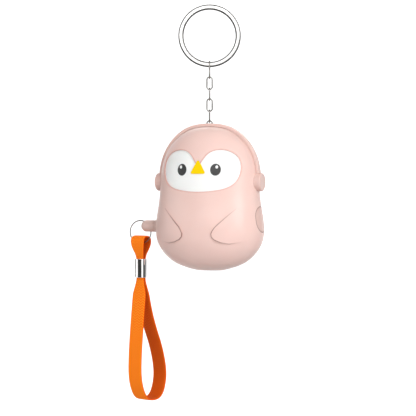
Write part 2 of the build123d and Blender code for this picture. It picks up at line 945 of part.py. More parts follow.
# Lamp button: an oval piece of the flank on a guided stem with a stop flange
button_back = button_sleeve_end - button_flange_play - button_flange
with BuildPart() as side_button:
    extrude(button_line(button_back, 0), amount=case_half_width)
    add(outer, mode=Mode.INTERSECT)
    extrude(button_line(button_back, button_flange), amount=button_flange)
    with BuildSketch(Plane.YZ.offset(button_back)):
        add(button_line(button_back, -button_pocket_wall))
        with Locations((0, up(button_height))):
            Circle(button_stem / 2, mode=Mode.SUBTRACT)
    extrude(amount=case_half_width - button_back - wall - button_face, mode=Mode.SUBTRACT)
side_button.part.label = "side_button"
export_step(side_button.part, "parts/side_button.step")

# Plunger of the switch, pressed by the button
with BuildPart() as switch_plunger:
    with BuildSketch(Plane.YZ.offset(button_back)):
        with Locations((0, up(button_height))):
            Circle(plunger_diameter / 2)
    extrude(amount=tab_reach - plunger_inside - button_back)
switch_plunger.part.label = "switch_plunger"
export_step(switch_plunger.part, "parts/switch_plunger.step")

# Switch body on the board's tab
with BuildPart() as tact_switch:
    with BuildSketch(facing(board_back)):
        with Locations((tab_reach - switch_depth / 2, up(button_height))):
            Rectangle(switch_depth, switch_size)
    extrude(amount=2 * board_back)
    with BuildSketch(Plane.YZ.offset(tab_reach)):
        with Locations((0, up(button_height))):
            Circle(plunger_diameter / 2 + plunger_play)
    extrude(amount=-plunger_inside - button_travel - plunger_play, mode=Mode.SUBTRACT)
tact_switch.part.label = "tact_switch"
export_step(tact_switch.part, "parts/tact_switch.step")

# Circuit board with a tab for the switch
with BuildPart() as circuit_board:
    with BuildSketch(facing(board_back)):
        with Locations((0, up((board_bottom + board_top) / 2))):
            RectangleRounded(2 * board_half_width, board_top - board_bottom, board_corner)
        with Locations(((board_half_width + tab_reach) / 2, up(button_height))):
            Rectangle(tab_reach - board_half_width, 2 * tab_half_height)
        for height in post_heights:
            with Locations((post_x, up(height)), (-post_x, up(height))):
                Circle(board_screw_diameter / 2 + screw_play, mode=Mode.SUBTRACT)
    extrude(amount=board_thickness)
circuit_board.part.label = "circuit_board"
export_step(circuit_board.part, "parts/circuit_board.step")

# Control chip on the front of the board
with BuildPart() as control_chip:
    with BuildSketch(facing(board_back - board_thickness)):
        with Locations((-board_half_width / 2, up(chip_height))):
            Rectangle(chip_size, chip_size)
    extrude(amount=chip_depth)
    chamfer(control_chip.faces().sort_by(Axis.Y)[0].edges(), chip_depth * point_share)
control_chip.part.label = "control_chip"
export_step(control_chip.part, "parts/control_chip.step")

# Step-up coil for the siren: drum core and its winding
with BuildPart() as coil_core:
    with BuildSketch(facing(board_back - board_thickness)):
        with Locations((coil_x, up(coil_height))):
            Circle(coil_diameter / 2)
    extrude(amount=coil_depth)
    with BuildSketch(facing(board_back - board_thickness - coil_flange)):
        with Locations((coil_x, up(coil_height))):
            Circle(coil_diameter / 2)
            Circle(coil_waist / 2, mode=Mode.SUBTRACT)
    extrude(amount=coil_depth - 2 * coil_flange, mode=Mode.SUBTRACT)
coil_core.part.label = "coil_core"
export_step(coil_core.part, "parts/coil_core.step")

with BuildPart() as coil_winding:
    with BuildSketch(facing(board_back - board_thickness - coil_flange)):
        with Locations((coil_x, up(coil_height))):
            Circle(winding_diameter / 2)
            Circle(coil_waist / 2, mode=Mode.SUBTRACT)
    extrude(amount=coil_depth - 2 * coil_flange)
coil_winding.part.label = "coil_winding"
export_step(coil_winding.part, "parts/coil_winding.step")

# Pin switch: a base on the board and two leaves that the pull pin holds apart
leaf_room = pin_diameter / 2 + leaf_gap
with BuildPart() as pin_switch_base:
    with BuildSketch(facing(board_back)):
        with Locations((-leaf_base_x - leaf_base_width / 2, up(pin_height))):
            Rectangle(leaf_base_width, leaf_base_height)
            for side in (1, -1):
                with Locations((0, side * (leaf_room + leaf_thickness / 2))):
                    Rectangle(leaf_base_width, leaf_thickness, mode=Mode.SUBTRACT)
    extrude(amount=-leaf_base_depth)
    with BuildSketch(facing(board_back)):
        with Locations((-leaf_base_x - leaf_base_width / 2, up(pin_height))):
            Rectangle(leaf_base_width, leaf_base_height)
    extrude(amount=-(leaf_base_depth - leaf_width) / 2)
pin_switch_base.part.label = "pin_switch_base"
export_step(pin_switch_base.part, "parts/pin_switch_base.step")

with BuildPart() as pin_leaves:
    with BuildSketch(facing(board_back + (leaf_base_depth - leaf_width) / 2)):
        for side in (1, -1):
            level = side * (leaf_room + leaf_thickness / 2)
            with Locations(((-leaf_base_x - leaf_reach) / 2, up(pin_height + level))):
                Rectangle(leaf_reach - leaf_base_x, leaf_thickness)
            with Locations((leaf_thickness / 2 - leaf_reach, up(pin_height + level + side * leaf_hook / 2))):
                Rectangle(leaf_thickness, leaf_hook)
    extrude(amount=-leaf_width)
pin_leaves.part.label = "pin_leaves"
export_step(pin_leaves.part, "parts/pin_leaves.step")

# Pin socket: a bush through the flank with a rim outside
pin_line = Axis((0, 0, up(pin_height)), (1, 0, 0))
with BuildPart() as pin_socket:
    with BuildSketch(Plane.YZ.offset(-socket_rim_face)):
        with Locations((0, up(pin_height))):
            Circle(socket_rim_diameter / 2)
    extrude(amount=socket_rim_face - socket_rim_back)
    fillet(pin_socket.faces().sort_by(Axis.X)[0].edges(), socket_rim_edge)
    add(egg(trim_gap), mode=Mode.SUBTRACT)
    with BuildSketch(Plane.YZ.offset(-socket_end)):
        with Locations((0, up(pin_height))):
            Circle(socket_diameter / 2)
    extrude(amount=-(socket_rim_face - socket_end) + socket_rim_edge)
    with BuildSketch(Plane.YZ.offset(-socket_end)):
        with Locations((0, up(pin_height))):
            Circle(pin_diameter / 2 + pin_play)
    extrude(amount=-case_half_width, mode=Mode.SUBTRACT)
pin_socket.part.label = "pin_socket"
export_step(pin_socket.part, "parts/pin_socket.step")

# Pull pin: a round-ended knob on a thin pin, with a slot through the knob for the small ring
knob_radius = knob_diameter / 2
with BuildPart() as pull_pin:
    with BuildSketch(Plane.XZ):
        with BuildLine():
            axis_level = up(pin_height)
            Line((-pin_tip, axis_level), (-pin_tip, axis_level + pin_diameter / 2 - pin_tip_taper))
            Line(
                (-pin_tip, axis_level + pin_diameter / 2 - pin_tip_taper),
                (-pin_tip - pin_tip_taper, axis_level + pin_diameter / 2),
            )
            Line(
                (-pin_tip - pin_tip_taper, axis_level + pin_diameter / 2),
                (-knob_root, axis_level + pin_diameter / 2),
            )
            Line((-knob_root, axis_level + pin_diameter / 2), (-knob_root, axis_level + knob_radius))
            Line((-knob_root, axis_level + knob_radius), (knob_radius - knob_end, axis_level + knob_radius))
            RadiusArc(
                (knob_radius - knob_end, axis_level + knob_radius), (-knob_end, axis_level), -knob_radius
            )
            Line((-knob_end, axis_level), (-pin_tip, axis_level))
        make_face()
    revolve(axis=pin_line)
    with BuildSketch(Plane.XY.offset(up(pin_height) - knob_radius - overrun)):
        with Locations((-(slot_inner + slot_outer) / 2, 0)):
            SlotOverall(slot_outer - slot_inner, slot_width)
    extrude(amount=knob_diameter + 2 * overrun, mode=Mode.SUBTRACT)
pull_pin.part.label = "pull_pin"
export_step(pull_pin.part, "parts/pull_pin.step")

# Small split ring: one turn of thin wire whose ends overlap for a short way
with BuildPart() as strap_ring:
    with BuildSketch(Plane.YZ.offset(-loop_x)):
        with Locations((0, up(loop_height) + loop_radius)):
            Circle(loop_wire / 2)
    revolve(axis=Axis((-loop_x, 0, up(loop_height)), (0, 1, 0)))
    with BuildLine(Plane.XZ.offset(loop_tail_shift)) as tail:
        CenterArc((-loop_x, up(loop_height)), loop_radius, loop_tail_start, loop_tail_sweep)
    with BuildSketch(Plane(origin=tail.wires()[0] @ 0, z_dir=tail.wires()[0] % 0)):
        Circle(loop_wire / 2)
    sweep(path=tail.wires()[0])
strap_ring.part.label = "strap_ring"
export_step(strap_ring.part, "parts/strap_ring.step")

# Wrist strap: flat webbing in one plane, drawn together at the ferrule
turn = math.radians(strap_yaw)
web_across = Vector(math.cos(turn), math.sin(turn), 0)
loop_across = Vector(-math.sin(turn), math.cos(turn), 0)
strap_place = Vector(-strap_x, 0, up(pin_height))
strap_plane = Plane(origin=strap_place, x_dir=loop_across, z_dir=web_across)
web_plane = Plane(origin=strap_place, x_dir=web_across, z_dir=-loop_across)


def bend_radii(route):
    """Radius at each inner point: a share of the shorter run, but full at the fold over the ring."""
    radii = []
    for before, point, after in zip(route, route[1:], route[2:]):
        back = Vector(*before) - Vector(*point)
        ahead = Vector(*after) - Vector(*point)
        half_turn = math.radians(180 - back.get_angle(ahead)) / 2
        radius = bend_share * min(back.length, ahead.length) / math.tan(half_turn)
        radii.append(fold_radius if point[1] > near_route[2][1] else radius)
    return radii


def webbing(route):
    """Edge view of one half of the webbing."""
    with BuildSketch(strap_plane, mode=Mode.PRIVATE) as shape:
        with BuildLine():
            FilletPolyline(*route, radius=bend_radii(route))
        trace(line_width=web_thickness)
    return shape.sketch


with BuildPart() as wrist_strap:
    extrude(webbing(near_route), amount=web_width / 2, both=True)
    extrude(webbing(far_route), amount=web_width / 2, both=True)
    with BuildSketch(web_plane):
        with BuildLine():
            low = near_route[-1][1] - web_width
            flare_low = -ferrule_drop - ferrule_length - neck_flare_length
            flare_high = near_route[0][1] - web_thickness
            right = [
                (web_width / 2, low),
                (web_width / 2, flare_low),
                (neck_width / 2, -ferrule_drop - ferrule_length),
                (neck_width / 2, -ferrule_drop),
                (web_width / 2, flare_high),
                (web_width / 2, near_route[0][1] + web_width),
            ]
            left = [(-x, z) for x, z in reversed(right)]
            Polyline(right + left, close=True)
        make_face()
    extrude(amount=3 * strap_x, both=True, mode=Mode.INTERSECT)
wrist_strap.part.label = "wrist_strap"
export_step(wrist_strap.part, "parts/wrist_strap.step")

# Ferrule: a polished tube pressed round both layers of the webbing
with BuildPart() as strap_ferrule:
    with BuildSketch(Plane(origin=(-strap_x, 0, up(pin_height) - ferrule_drop))):
        Circle(ferrule_diameter / 2)
        Circle(ferrule_diameter / 2 - ferrule_wall, mode=Mode.SUBTRACT)
    extrude(amount=-ferrule_length)
    fillet(strap_ferrule.edges().filter_by(GeomType.CIRCLE), ferrule_edge)
strap_ferrule.part.label = "strap_ferrule"
export_step(strap_ferrule.part, "parts/strap_ferrule.step")

# Button cells in a row along X, and their spring contacts
cells_level = up(cells_height)
with BuildPart() as battery_cells:
    for n in range(cell_count):
        start = cells_x - cells_length / 2 + cell_gap / 2 + n * (cell_length + cell_gap)
        with BuildSketch(Plane(origin=(start, cells_y, cells_level), z_dir=(1, 0, 0))):
            Circle(cell_diameter / 2)
        extrude(amount=cell_length - cell_step)
        with BuildSketch(Plane(origin=(start, cells_y, cells_level), z_dir=(1, 0, 0))):
            Circle(cell_diameter / 2 - cell_cap)
        extrude(amount=cell_length)
battery_cells.part.label = "battery_cells"
export_step(battery_cells.part, "parts/battery_cells.step")

with BuildPart() as battery_contacts:
    for side in (1, -1):
        end = cells_x + side * well_length / 2
        with BuildSketch(Plane.YZ.offset(end)):
            with Locations((cells_y, cells_level)):
                Rectangle(contact_depth, contact_width)
        extrude(amount=-side * contact_thickness)
        with BuildSketch(Plane.YZ.offset(end)):
            with Locations((cells_y, cells_level)):
                Circle(contact_bump / 2)
        with BuildSketch(Plane.YZ.offset(end - side * (well_end_room - cell_gap / 2))):
            with Locations((cells_y, cells_level)):
                Circle(contact_bump_top / 2)
        loft()
battery_contacts.part.label = "battery_contacts"
export_step(battery_contacts.part, "parts/battery_contacts.step")

# Siren: gasket, brass disc and ceramic disc in the chamber of the rear cover
disc_radius = siren_diameter / 2 - siren_play
with BuildPart() as siren_gasket:
    with BuildSketch(facing(siren_seat)):
        with Locations((0, up(siren_height))):
            Circle(disc_radius)
            Circle(siren_diameter / 2 - gasket_width, mode=Mode.SUBTRACT)
    extrude(amount=gasket_thickness)
siren_gasket.part.label = "siren_gasket"
export_step(siren_gasket.part, "parts/siren_gasket.step")

with BuildPart() as siren_disc:
    with BuildSketch(facing(siren_seat - gasket_thickness)):
        with Locations((0, up(siren_height))):
            Circle(disc_radius)
    extrude(amount=siren_disc_thickness)
siren_disc.part.label = "siren_disc"
export_step(siren_disc.part, "parts/siren_disc.step")

with BuildPart() as siren_ceramic:
    with BuildSketch(facing(siren_seat - gasket_thickness - siren_disc_thickness)):
        with Locations((0, up(siren_height))):
            Circle(siren_ceramic_diameter / 2)
    extrude(amount=siren_ceramic_thickness)
siren_ceramic.part.label = "siren_ceramic"
export_step(siren_ceramic.part, "parts/siren_ceramic.step")

# Lamp lens in the foot, and the lamp above it
with BuildPart() as foot_lens:
    with BuildSketch(Plane.XY.offset(up(lens_recess))):
        Circle(lens_diameter / 2)
    extrude(amount=wall + trim_gap - lens_recess)
    with BuildSketch(Plane.XY.offset(up(wall + trim_gap))):
        Circle(lens_diameter / 2 + lens_flange)
    extrude(amount=lens_flange)
foot_lens.part.label = "foot_lens"
export_step(foot_lens.part, "parts/foot_lens.step")

lamp_low = wall + trim_gap + lens_flange + lamp_gap
lamp_high = lamp_low + lamp_length
with BuildPart() as foot_lamp:
    with BuildSketch(Plane.XZ):
        with BuildLine():
            dome = lamp_diameter / 2
            RadiusArc((0, up(lamp_low)), (dome, up(lamp_low + dome)), -dome)
            Polyline(
                (dome, up(lamp_low + dome)),
                (dome, up(lamp_high - lamp_flange_depth)),
                (dome + lamp_flange, up(lamp_high - lamp_flange_depth)),
                (dome + lamp_flange, up(lamp_high)),
                (0, up(lamp_high)),
                (0, up(lamp_low)),
            )
        make_face()
    revolve(axis=Axis.Z)
foot_lamp.part.label = "foot_lamp"
export_step(foot_lamp.part, "parts/foot_lamp.step")

with BuildPart() as lamp_leads:
    for side in (1, -1):
        with BuildSketch(Plane.XY.offset(up(lamp_high))):
            with Locations((side * lead_spacing / 2, 0)):
                Rectangle(lead_side, lead_side)
        extrude(amount=lead_length)
        with BuildSketch(facing(board_back)):
            with Locations((side * lead_spacing / 2, up(lamp_high + lead_length - lead_side / 2))):
                Rectangle(lead_side, lead_side)
        extrude(amount=board_back)
lamp_leads.part.label = "lamp_leads"
export_step(lamp_leads.part, "parts/lamp_leads.step")
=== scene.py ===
import math

import bpy
import numpy as np
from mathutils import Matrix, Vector


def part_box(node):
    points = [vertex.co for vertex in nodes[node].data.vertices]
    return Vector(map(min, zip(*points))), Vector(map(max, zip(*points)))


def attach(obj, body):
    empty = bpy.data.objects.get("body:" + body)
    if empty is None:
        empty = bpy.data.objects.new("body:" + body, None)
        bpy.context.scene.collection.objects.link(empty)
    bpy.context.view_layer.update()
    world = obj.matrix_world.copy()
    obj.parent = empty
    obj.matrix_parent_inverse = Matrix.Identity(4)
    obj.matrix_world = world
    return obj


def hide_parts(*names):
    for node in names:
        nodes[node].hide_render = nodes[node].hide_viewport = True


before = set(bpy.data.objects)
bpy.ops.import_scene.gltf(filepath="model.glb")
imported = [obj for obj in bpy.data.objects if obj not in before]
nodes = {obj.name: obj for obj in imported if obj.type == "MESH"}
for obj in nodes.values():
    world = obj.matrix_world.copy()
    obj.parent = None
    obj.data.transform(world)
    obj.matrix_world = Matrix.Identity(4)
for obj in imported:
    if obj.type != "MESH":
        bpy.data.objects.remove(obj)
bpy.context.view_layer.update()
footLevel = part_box("front_shell")[0].z
mm = 0.001
fullTurn = 2 * math.pi
print("frame loaded with", len(nodes), "pieces")


def rgb(red, green, blue):
    # an 8-bit screen colour as the shader's linear one
    linear = [((c / 255 + 0.055) / 1.055) ** 2.4 if c > 10 else c / 255 / 12.92 for c in (red, green, blue)]
    return (*linear, 1.0)


# Shader values: a formula on them adds its own Math nodes
class Value:
    def __init__(self, finish, socket):
        self.finish, self.socket = finish, socket

    def math(self, operation, *others):
        return self.finish.node("ShaderNodeMath", {"operation": operation}, others)

    def __add__(self, other):
        return self.math("ADD", self, other)

    def __radd__(self, other):
        return self.math("ADD", other, self)

    def __sub__(self, other):
        return self.math("SUBTRACT", self, other)

    def __rsub__(self, other):
        return self.math("SUBTRACT", other, self)

    def __mul__(self, other):
        return self.math("MULTIPLY", self, other)

    def __rmul__(self, other):
        return self.math("MULTIPLY", other, self)

    def __truediv__(self, other):
        return self.math("DIVIDE", self, other)

    def __pow__(self, other):
        return self.math("POWER", self, other)

    def sine(self):
        return self.math("SINE", self)

    def size(self):
        return self.math("ABSOLUTE", self)

    def part(self):  # the fraction after the whole number
        return self.math("FRACT", self)

    def least(self, other):
        return self.math("MINIMUM", self, other)

    def most(self, other):
        return self.math("MAXIMUM", self, other)

    def above(self, other):
        return self.math("GREATER_THAN", self, other)

    def step(self, low, high):  # smooth step from 0 at low to 1 at high
        values = {"Value": self, "From Min": low, "From Max": high}
        return self.finish.node("ShaderNodeMapRange", {"interpolation_type": "SMOOTHSTEP"}, values)


class Finish:
    def __init__(self, name):
        self.material = bpy.data.materials.new(name)
        self.material.use_nodes = True
        self.tree = self.material.node_tree
        self.shader = self.tree.nodes["Principled BSDF"]

    def join(self, value, socket):
        if isinstance(value, Value):
            self.tree.links.new(value.socket, socket)
        else:
            socket.default_value = value

    def node(self, kind, settings=None, values=(), output=0):
        made = self.tree.nodes.new(kind)
        for key, value in (settings or {}).items():
            setattr(made, key, value)
        pairs = values.items() if isinstance(values, dict) else enumerate(values)
        for key, value in pairs:
            self.join(value, made.inputs[key])
        return Value(self, made.outputs[output])

    def place(self):  # object coordinates, in metres
        return self.node("ShaderNodeTexCoord", output="Object")

    def noise(self, scale, detail=2.0, place=None, roughness=0.5):
        values = {"Vector": place or self.place(), "Scale": scale, "Detail": detail, "Roughness": roughness}
        return self.node("ShaderNodeTexNoise", None, values, output="Fac")

    def axis(self, place, name):  # one coordinate of a place
        return self.node("ShaderNodeSeparateXYZ", None, [place], output=name)

    def vector(self, x, y, z):
        return self.node("ShaderNodeCombineXYZ", None, [x, y, z])

    def mix(self, share, first, second):  # each colour is a link or an 8-bit screen colour
        first, second = (tone if isinstance(tone, Value) else rgb(*tone) for tone in (first, second))
        return self.node("ShaderNodeMix", {"data_type": "RGBA"}, {0: share, 6: first, 7: second}, output=2)

    def bump(self, height, strength, distance):
        values = {"Height": height, "Strength": strength, "Distance": distance}
        return self.node("ShaderNodeBump", None, values)

    def shade(self, sockets):
        for key, value in sockets.items():
            self.join(value, self.shader.inputs[key])
        return self.material


def paint(material, *names):
    for name in names:
        slots = nodes[name].data.materials
        slots.clear()
        slots.append(material)


def cloudy(finish, place, look):
    # soft clouds, and the look's two tones mixed by them
    cloud = finish.noise(look["cloudScale"], look["cloudDetail"], place)
    return cloud, finish.mix(cloud.step(*look["cloudSteps"]), look["colour"], look["deepColour"])


def moulded(finish, look, colour, roughness, grain):
    # what every moulded piece sets, with its fine grain as a bump
    return finish.shade(
        {
            "Base Color": colour,
            "Roughness": roughness,
            "Normal": finish.bump(grain, look["grainStrength"], look["grainDepth"]),
            "IOR": look["ior"],
            "Coat Weight": look["coat"],
            "Coat Roughness": look["coatRoughness"],
            "Subsurface Weight": look["depth"],
            "Subsurface Radius": look["depthRadius"],
            "Subsurface Scale": look["depthScale"],
            "Transmission Weight": look["clear"],
            "Specular IOR Level": look["specular"],
        }
    )


# Moulded plastic: a soft cloudy tint, a finely uneven gloss and a few handling marks
def plastic(name, look):
    finish = Finish(name)
    place = finish.place()
    cloud, colour = cloudy(finish, place, look)
    grain = finish.noise(look["grainScale"], 2.0, place)
    marks = finish.noise(look["markScale"], 6.0, place, 0.7).step(*look["markSteps"])
    roughness = look["roughness"] + cloud * look["roughnessRange"] + marks * look["markRoughness"]
    return moulded(finish, look, colour, roughness, grain)


basePlastic = {
    "cloudScale": 60.0,
    "cloudDetail": 3.0,
    "cloudSteps": (0.3, 0.7),
    "grainScale": 2600.0,
    "grainStrength": 0.12,
    "grainDepth": 0.00004,
    "markScale": 240.0,
    "markSteps": (0.62, 0.78),
    "markRoughness": 0.05,
    "roughness": 0.3,
    "roughnessRange": 0.06,
    "ior": 1.49,
    "coat": 0.15,
    "coatRoughness": 0.12,
    "depth": 0.12,  # how much light goes into the plastic, how far by colour, and in metres
    "depthRadius": (1.0, 0.5, 0.4),
    "depthScale": 0.0012,
    "clear": 0.0,
    "specular": 0.4,
}
trimPink = plastic("trimPink", {**basePlastic, "colour": (232, 198, 189), "deepColour": (228, 193, 184)})
knobPink = plastic("knobPink", {**basePlastic, "colour": (222, 193, 184), "deepColour": (217, 187, 178)})
panelWhite = plastic("panelWhite", {**basePlastic, "colour": (255, 255, 253), "deepColour": (252, 252, 250)})
eyeLook = {
    "colour": (50, 49, 49),
    "deepColour": (44, 43, 43),
    "depth": 0.0,
    "coat": 0.25,
    "coatRoughness": 0.3,
}
eyeBlack = plastic("eyeBlack", {**basePlastic, **eyeLook})
beakLook = {
    "colour": (254, 214, 0),
    "deepColour": (252, 208, 0),
    "roughness": 0.5,
    "coat": 0.0,
    "specular": 0.1,
    "depth": 0.0,
}
beakYellow = plastic("beakYellow", {**basePlastic, **beakLook})


# Case: the same plastic, with painted shade in the creases of the wing reliefs, in the groove round the side
# button and along the rim of the face panel's pocket
def distanceToLine(across, upward, points):
    # the least distance to the straight runs between the points, each taken to its nearest point
    nearest = None
    for (x0, z0), (x1, z1) in zip(points, points[1:]):
        runX, runZ = x1 - x0, z1 - z0
        share = ((across - x0) * runX + (upward - z0) * runZ) / (runX**2 + runZ**2)
        share = share.least(1.0).most(0.0)
        apart = (across - x0 - share * runX) ** 2 + (upward - z0 - share * runZ) ** 2
        nearest = nearest.least(apart) if nearest else apart
    return nearest**0.5


def smoothRun(points, steps):
    # a line through the points whose every run is a cubic with the slopes of its neighbours
    points = np.array(points)
    slopes = np.gradient(points, axis=0)
    run = []
    for n in range(len(points) - 1):
        t = np.linspace(0, 1, steps, endpoint=False)[:, None]
        run.append(
            points[n] * (1 + 2 * t) * (1 - t) ** 2
            + points[n + 1] * t**2 * (3 - 2 * t)
            + slopes[n] * t * (1 - t) ** 2
            - slopes[n + 1] * t**2 * (1 - t)
        )
    return [tuple(float(c) for c in point) for point in np.vstack([*run, points[-1:]])]


caseLook = {
    **basePlastic,
    "colour": (243, 209, 200),
    "deepColour": (240, 205, 196),
    "frontBefore": -4.0 * mm,  # the front's reliefs lie at a smaller y than this
    "runSteps": 2,
    # the wings' outline: distance from the middle and height above the foot, as in the part's source
    "wing": [(16.8, 27.8), (8.6, 19.9), (6.9, 16.9), (8.3, 14.3), (14.3, 12.5), (22.0, 14.1)],
    "creaseWidth": 0.36 * mm,
    "creaseShade": (150, 104, 94),
    "creaseStrength": 0.85,
    "creaseRoughness": 0.2,
    "fadeFrom": 9.0 * mm,
    "fadeTo": 20.0 * mm,
    # the face's outline: shares of its half width and of its height, as in the part's source
    "face": [
        (0.0, 0.597),
        (0.137, 0.79),
        (0.274, 0.935),
        (0.526, 1.0),
        (0.786, 0.935),
        (0.943, 0.79),
        (1.0, 0.575),
        (0.967, 0.37),
        (0.874, 0.21),
        (0.72, 0.105),
        (0.446, 0.035),
        (0.0, 0.0),
    ],
    "faceHalfWidth": 18.2 * mm,
    "faceHeight": 18.6 * mm,
    "faceBottom": 35.3 * mm,
    "lipWidth": 0.75 * mm,
    "lipShade": (222, 150, 138),
    "lipStrength": 0.6,
    "buttonHeight": 23.0 * mm,
    "buttonHalfRun": 0.9 * mm,
    "buttonRadius": 4.8 * mm,
    "flankFrom": 20.0 * mm,
}


def casePlastic(name, look):
    finish = Finish(name)
    place = finish.place()
    x, y, z = (finish.axis(place, letter) for letter in "XYZ")
    aside, upward = x.size(), z - footLevel
    behind = (y - look["frontBefore"]).above(0.0)  # 1 m, which puts a line out of reach there
    # the wings' crease, a painted shade, runs out toward the flanks
    wingLine = [look["wing"][0], *smoothRun(look["wing"][1:], look["runSteps"])]
    wingLine = [(across * mm, height * mm) for across, height in wingLine]
    fromWing = distanceToLine(aside, upward, wingLine) + behind
    wingShade = fromWing.step(look["creaseWidth"], 0.0) * aside.step(look["fadeTo"], look["fadeFrom"])
    # a painted shade along the groove round the side button
    # the button's outline is a short upright run moved out by its radius
    level = upward - look["buttonHeight"]
    beyond = (level.size() - look["buttonHalfRun"]).most(0.0)
    fromButton = ((y * y + beyond * beyond) ** 0.5 - look["buttonRadius"]).size()
    offFlank = 1 - x.above(look["flankFrom"])
    buttonShade = (fromButton + offFlank).step(look["creaseWidth"], 0.0)
    shade = wingShade.most(buttonShade) * look["creaseStrength"]
    # a painted shade along the rim of the face panel's pocket, where a rounded lip would be shaded
    faceLine = [
        (across * look["faceHalfWidth"], look["faceBottom"] + height * look["faceHeight"])
        for across, height in smoothRun(look["face"], look["runSteps"])
    ]
    fromFace = distanceToLine(aside, upward, faceLine) + behind
    lip = fromFace.step(look["lipWidth"], 0.0) * look["lipStrength"]
    cloud, colour = cloudy(finish, place, look)
    colour = finish.mix(shade, finish.mix(lip, colour, look["lipShade"]), look["creaseShade"])
    roughness = look["roughness"] + cloud * look["roughnessRange"] + shade * look["creaseRoughness"]
    return moulded(finish, look, colour, roughness, finish.noise(look["grainScale"], 2.0, place))


casePink = casePlastic("casePink", caseLook)


# Metal: faint drawn lines along one axis, a slightly uneven gloss and, on a ring, a painted dark reflection
# at its rims
def metal(name, look):
    finish = Finish(name)
    place = finish.place()
    cloud, colour = cloudy(finish, place, look)
    x, y, z = (finish.axis(place, letter) for letter in "XYZ")
    along = finish.vector(*(c * s for c, s in zip((x, y, z), look["lineStretch"])))
    lines = finish.noise(look["lineScale"], 2.0, along)
    if "rimShade" in look:
        # a ring is darker toward its two rims, a painted dark reflection: with the distance from its middle
        # circle
        sideways = x * math.cos(look["turn"]) + y * math.sin(look["turn"])
        fromMiddle = ((sideways * sideways + z * z) ** 0.5 - look["rimMiddle"]).size()
        colour = finish.mix(fromMiddle.step(look["rimFrom"], look["rimTo"]), colour, look["rimShade"])
    return finish.shade(
        {
            "Base Color": colour,
            "Metallic": 1.0,
            "Roughness": look["roughness"] + cloud * look["roughnessRange"],
            "Normal": finish.bump(lines, look["lineStrength"], look["lineDepth"]),
        }
    )


baseMetal = {
    "cloudScale": 400.0,
    "cloudDetail": 4.0,
    "cloudSteps": (0.35, 0.7),
    "lineScale": 900.0,
    "lineStretch": (1.0, 1.0, 8.0),
    "lineStrength": 0.06,
    "lineDepth": 0.00003,
    "roughness": 0.1,
    "roughnessRange": 0.1,
}
ringLook = {
    "colour": (240, 239, 237),
    "deepColour": (230, 229, 227),
    "turn": math.radians(20),
    "rimMiddle": 12.85 * mm,
    "rimFrom": 0.4 * mm,
    "rimTo": 0.8 * mm,
    "rimShade": (52, 50, 48),
}
ringSteel = metal("ringSteel", {**baseMetal, **ringLook})
wireSteel = metal("wireSteel", {**baseMetal, "colour": (158, 156, 152), "deepColour": (136, 134, 130)})
ferruleLook = {
    "colour": (250, 249, 248),
    "deepColour": (246, 245, 244),
    "roughness": 0.03,
    "roughnessRange": 0.03,
    "lineStrength": 0.02,
    "lineStretch": (8.0, 8.0, 0.2),
}
mirrorSteel = metal("mirrorSteel", {**baseMetal, **ferruleLook})
screwLook = {"colour": (176, 176, 178), "deepColour": (150, 150, 152), "roughness": 0.25}
screwSteel = metal("screwSteel", {**baseMetal, **screwLook})
springLook = {"colour": (205, 203, 196), "deepColour": (184, 181, 172), "roughness": 0.2}
springMetal = metal("springMetal", {**baseMetal, **springLook})
sheetLook = {"colour": (214, 178, 104), "deepColour": (190, 152, 84), "roughness": 0.28}
brassSheet = metal("brassSheet", {**baseMetal, **sheetLook})

# Inner plastics, ceramics and foam: no coat, and no light goes into them
innerPlastic = {**basePlastic, "depth": 0.0, "coat": 0.0}
switchLook = {"colour": (38, 38, 40), "deepColour": (32, 32, 34)}
blackPlastic = plastic("blackPlastic", {**innerPlastic, **switchLook})
chipLook = {"colour": (30, 30, 31), "deepColour": (25, 25, 26), "roughness": 0.55, "grainStrength": 0.3}
chipEpoxy = plastic("chipEpoxy", {**innerPlastic, **chipLook})
coreLook = {"colour": (66, 64, 63), "deepColour": (54, 52, 51), "roughness": 0.6, "grainStrength": 0.4}
ferrite = plastic("ferrite", {**innerPlastic, **coreLook})
gasketLook = {"colour": (34, 34, 35), "deepColour": (26, 26, 27), "roughness": 0.8, "grainStrength": 0.6}
foamRubber = plastic("foamRubber", {**innerPlastic, **gasketLook})
ceramicLook = {"colour": (226, 220, 205), "deepColour": (214, 208, 193), "roughness": 0.5}
ceramicWhite = plastic("ceramicWhite", {**innerPlastic, **ceramicLook})
lensLook = {
    "colour": (250, 251, 252),
    "deepColour": (246, 248, 250),
    "roughness": 0.06,
    "grainStrength": 0.02,
    "ior": 1.58,
    "clear": 1.0,
}
clearPlastic = plastic("clearPlastic", {**innerPlastic, **lensLook})


# Circuit board: green solder mask over copper tracks that run square to each other
def boardFinish(name, look):
    finish = Finish(name)
    place = finish.place()
    x, z = finish.axis(place, "X"), finish.axis(place, "Z")
    # tracks are thin lines whose direction changes from patch to patch
    cells = {"Vector": place, "Scale": look["patchScale"]}
    patch = finish.node("ShaderNodeTexVoronoi", {"distance": "CHEBYCHEV"}, cells, output=1)
    upright = finish.axis(patch, "X").above(0.5)
    lane = (x * upright + z * (1 - upright)) / look["trackPitch"]
    track = (lane.part() - 0.5).size().step(look["trackShare"], look["trackShare"] - look["trackEdge"])
    copper = track * finish.axis(patch, "Y").above(look["emptyShare"])
    colour = finish.mix(copper, look["mask"], look["trackColour"])
    grain = finish.noise(look["grainScale"]) * look["grainShare"]
    return finish.shade(
        {
            "Base Color": finish.mix(grain, colour, look["mask"]),
            "Roughness": look["roughness"] - copper * look["trackGloss"],
            "Normal": finish.bump(copper, look["trackStrength"], look["trackDepth"]),
        }
    )


boardLook = {
    "patchScale": 260.0,
    "trackPitch": 0.9 * mm,
    "trackShare": 0.2,
    "trackEdge": 0.06,
    "trackGloss": 0.05,
    "trackStrength": 0.5,
    "trackDepth": 0.00004,
    "emptyShare": 0.45,
    "grainScale": 900.0,
    "grainShare": 0.3,
    "roughness": 0.32,
    "mask": (18, 92, 52),
    "trackColour": (46, 132, 74),
}
boardGreen = boardFinish("boardGreen", boardLook)


